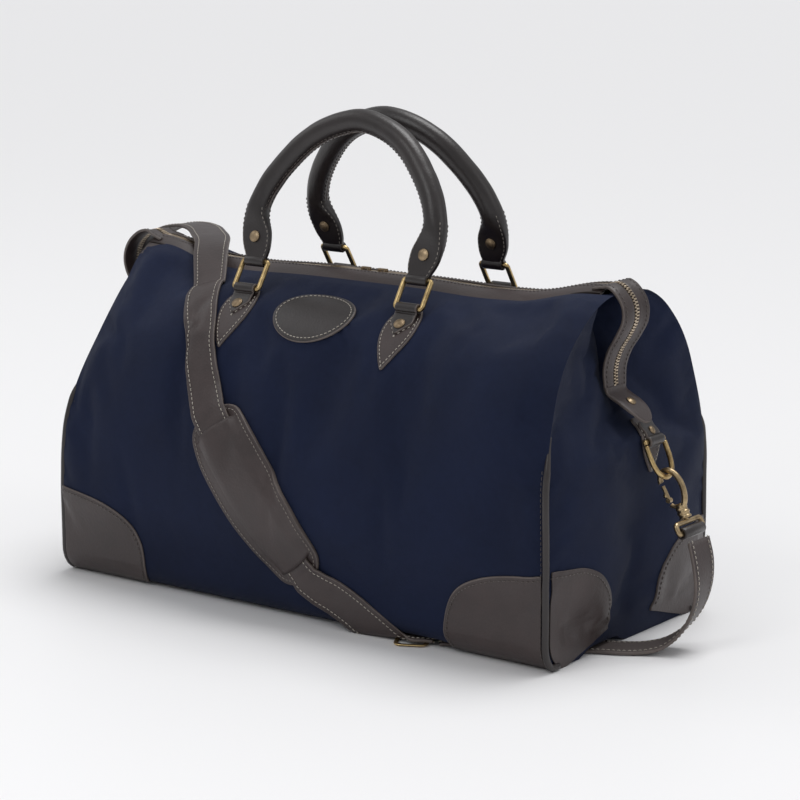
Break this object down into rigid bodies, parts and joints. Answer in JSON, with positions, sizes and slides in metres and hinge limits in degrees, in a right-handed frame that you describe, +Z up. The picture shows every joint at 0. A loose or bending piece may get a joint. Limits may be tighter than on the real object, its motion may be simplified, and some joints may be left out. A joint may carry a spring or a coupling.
{
  "type": "weekender bag",
  "caption": "Soft canvas travel bag with leather trim, top zip, rolled handles on metal rings, and a flat shoulder strap with a pad, laid across the front and clipped at both ends.",
  "frame": {"origin": "centre of the flat base, on the floor the bag stands on", "axes": "+X along the bag's length to the end where the strap loops out, -Y out of the front with the strap and pad, +Z up"},
  "size_m": [0.637, 0.2619, 0.4283],
  "materials": {
    "canvas": "waxed cotton canvas, navy",
    "leather": "dark brown, satin, stitched edges",
    "handle_leather": "dark brown rolled leather",
    "brass": "antique brass",
    "teeth": "brass zip teeth",
    "tape": "woven zip tape, dark brown",
    "board": "stiffening board, hidden"
  },
  "bodies": {
    "bag": {"back_panel": "canvas", "base_board": "board", "base_panel": "canvas", "buckle_frame": "brass", "chape_back_left": "leather", "chape_back_right": "leather", "chape_front_left": "leather", "chape_front_right": "leather", "chape_rivets": "brass", "corner_patch_back_left": "leather", "corner_patch_back_right": "leather", "corner_patch_front_left": "leather", "corner_patch_front_right": "leather", "dring_tab_left": "leather", "dring_tab_right": "leather", "dring_tab_studs": "brass", "front_panel": "canvas", "left_gusset": "canvas", "oval_patch": "leather", "piping_left": "leather", "piping_right": "leather", "right_gusset": "canvas", "shoulder_pad": "leather", "strap_long": "leather", "strap_short": "leather", "top_band_back": "leather", "top_band_front": "leather", "zip_chain": "teeth", "zip_tab_left": "leather", "zip_tab_right": "leather", "zip_tab_studs": "brass", "zip_tail_left": "leather", "zip_tail_right": "leather", "zip_tape_back": "tape", "zip_tape_front": "tape"},
    "ring_front_left": {"ring_front_left": "brass"},
    "ring_front_right": {"ring_front_right": "brass"},
    "ring_back_left": {"ring_back_left": "brass"},
    "ring_back_right": {"ring_back_right": "brass"},
    "handle_front": {"handle_front": "handle_leather", "handle_front_rivets": "brass"},
    "handle_back": {"handle_back": "handle_leather", "handle_back_rivets": "brass"},
    "dring_left": {"dring_left": "brass"},
    "dring_right": {"dring_right": "brass"},
    "swivel_left": {"swivel_left": "brass"},
    "swivel_right": {"swivel_right": "brass"},
    "hook_left": {"hook_left": "brass"},
    "hook_right": {"hook_right": "brass"},
    "gate_left": {"gate_left": "brass"},
    "gate_right": {"gate_right": "brass"},
    "zip_slider_left": {"zip_slider_left": "brass"},
    "zip_slider_right": {"zip_slider_right": "brass"},
    "zip_pull_left": {"zip_pull_left": "leather"},
    "zip_pull_right": {"zip_pull_right": "leather"}
  },
  "joints": [
    {"name": "ring_front_left_hinge", "type": "hinge", "parent": "bag", "child": "ring_front_left", "pos_m": [-0.0875, -0.069, 0.27], "axis": [1, 0, 0], "range_deg": [0, 70]},
    {"name": "ring_front_right_hinge", "type": "hinge", "parent": "bag", "child": "ring_front_right", "pos_m": [0.0875, -0.069, 0.27], "axis": [1, 0, 0], "range_deg": [0, 70]},
    {"name": "handle_front_hinge", "type": "hinge", "parent": "ring_front_left", "child": "handle_front", "pos_m": [-0.0875, -0.055, 0.292], "axis": [1, 0, 0], "range_deg": [0, 95]},
    {"name": "ring_back_left_hinge", "type": "hinge", "parent": "bag", "child": "ring_back_left", "pos_m": [-0.0875, 0.069, 0.27], "axis": [-1, 0, 0], "range_deg": [0, 70]},
    {"name": "ring_back_right_hinge", "type": "hinge", "parent": "bag", "child": "ring_back_right", "pos_m": [0.0875, 0.069, 0.27], "axis": [-1, 0, 0], "range_deg": [0, 70]},
    {"name": "handle_back_hinge", "type": "hinge", "parent": "ring_back_left", "child": "handle_back", "pos_m": [-0.0875, 0.055, 0.292], "axis": [-1, 0, 0], "range_deg": [0, 95]},
    {"name": "dring_right_hinge", "type": "hinge", "parent": "bag", "child": "dring_right", "pos_m": [0.2755, 0.016, 0.168], "axis": [0, 1, 0], "range_deg": [-1, 2]},
    {"name": "swivel_right_hinge", "type": "hinge", "parent": "bag", "child": "swivel_right", "pos_m": [0.31295, 0.016, 0.09739], "axis": [0, 1, 0], "range_deg": [-0.5, 1]},
    {"name": "hook_right_swivel", "type": "hinge", "parent": "swivel_right", "child": "hook_right", "pos_m": [0.30295, 0.016, 0.11471], "axis": [-0.5, 0, 0.866], "range_deg": [-8, 8]},
    {"name": "gate_right_hinge", "type": "hinge", "parent": "hook_right", "child": "gate_right", "pos_m": [0.29138, 0.016, 0.11935], "axis": [0, 1, 0], "range_deg": [0, 24], "stiffness_Nm_per_rad": 0.01, "springref_deg": -5.73},
    {"name": "dring_left_hinge", "type": "hinge", "parent": "bag", "child": "dring_left", "pos_m": [-0.274, 0.034, 0.168], "axis": [0, 1, 0], "range_deg": [-1, 2]},
    {"name": "swivel_left_hinge", "type": "hinge", "parent": "bag", "child": "swivel_left", "pos_m": [-0.29945, 0.034, 0.24351], "axis": [0, 1, 0], "range_deg": [-0.5, 1]},
    {"name": "hook_left_swivel", "type": "hinge", "parent": "swivel_left", "child": "hook_left", "pos_m": [-0.29445, 0.034, 0.22415], "axis": [0.2501, 0, -0.9682], "range_deg": [-8, 8]},
    {"name": "gate_left_hinge", "type": "hinge", "parent": "hook_left", "child": "gate_left", "pos_m": [-0.28454, 0.034, 0.21658], "axis": [0, 1, 0], "range_deg": [0, 24], "stiffness_Nm_per_rad": 0.01, "springref_deg": -5.73},
    {"name": "zip_slider_left_slide", "type": "slide", "parent": "bag", "child": "zip_slider_left", "axis": [-1, 0, 0], "range_m": [0, 0.13]},
    {"name": "zip_pull_left_hinge", "type": "hinge", "parent": "zip_slider_left", "child": "zip_pull_left", "pos_m": [-0.009, 0, 0.28442], "axis": [0, 1, 0], "range_deg": [0, 100]},
    {"name": "zip_slider_right_slide", "type": "slide", "parent": "bag", "child": "zip_slider_right", "axis": [1, 0, 0], "range_m": [0, 0.13]},
    {"name": "zip_pull_right_hinge", "type": "hinge", "parent": "zip_slider_right", "child": "zip_pull_right", "pos_m": [0.009, 0, 0.28442], "axis": [0, -1, 0], "range_deg": [0, 100]}
  ],
  "couplings": [
    {"joint": "ring_front_right_hinge", "follows": "ring_front_left_hinge", "ratio": 1},
    {"joint": "ring_back_right_hinge", "follows": "ring_back_left_hinge", "ratio": 1}
  ]
}
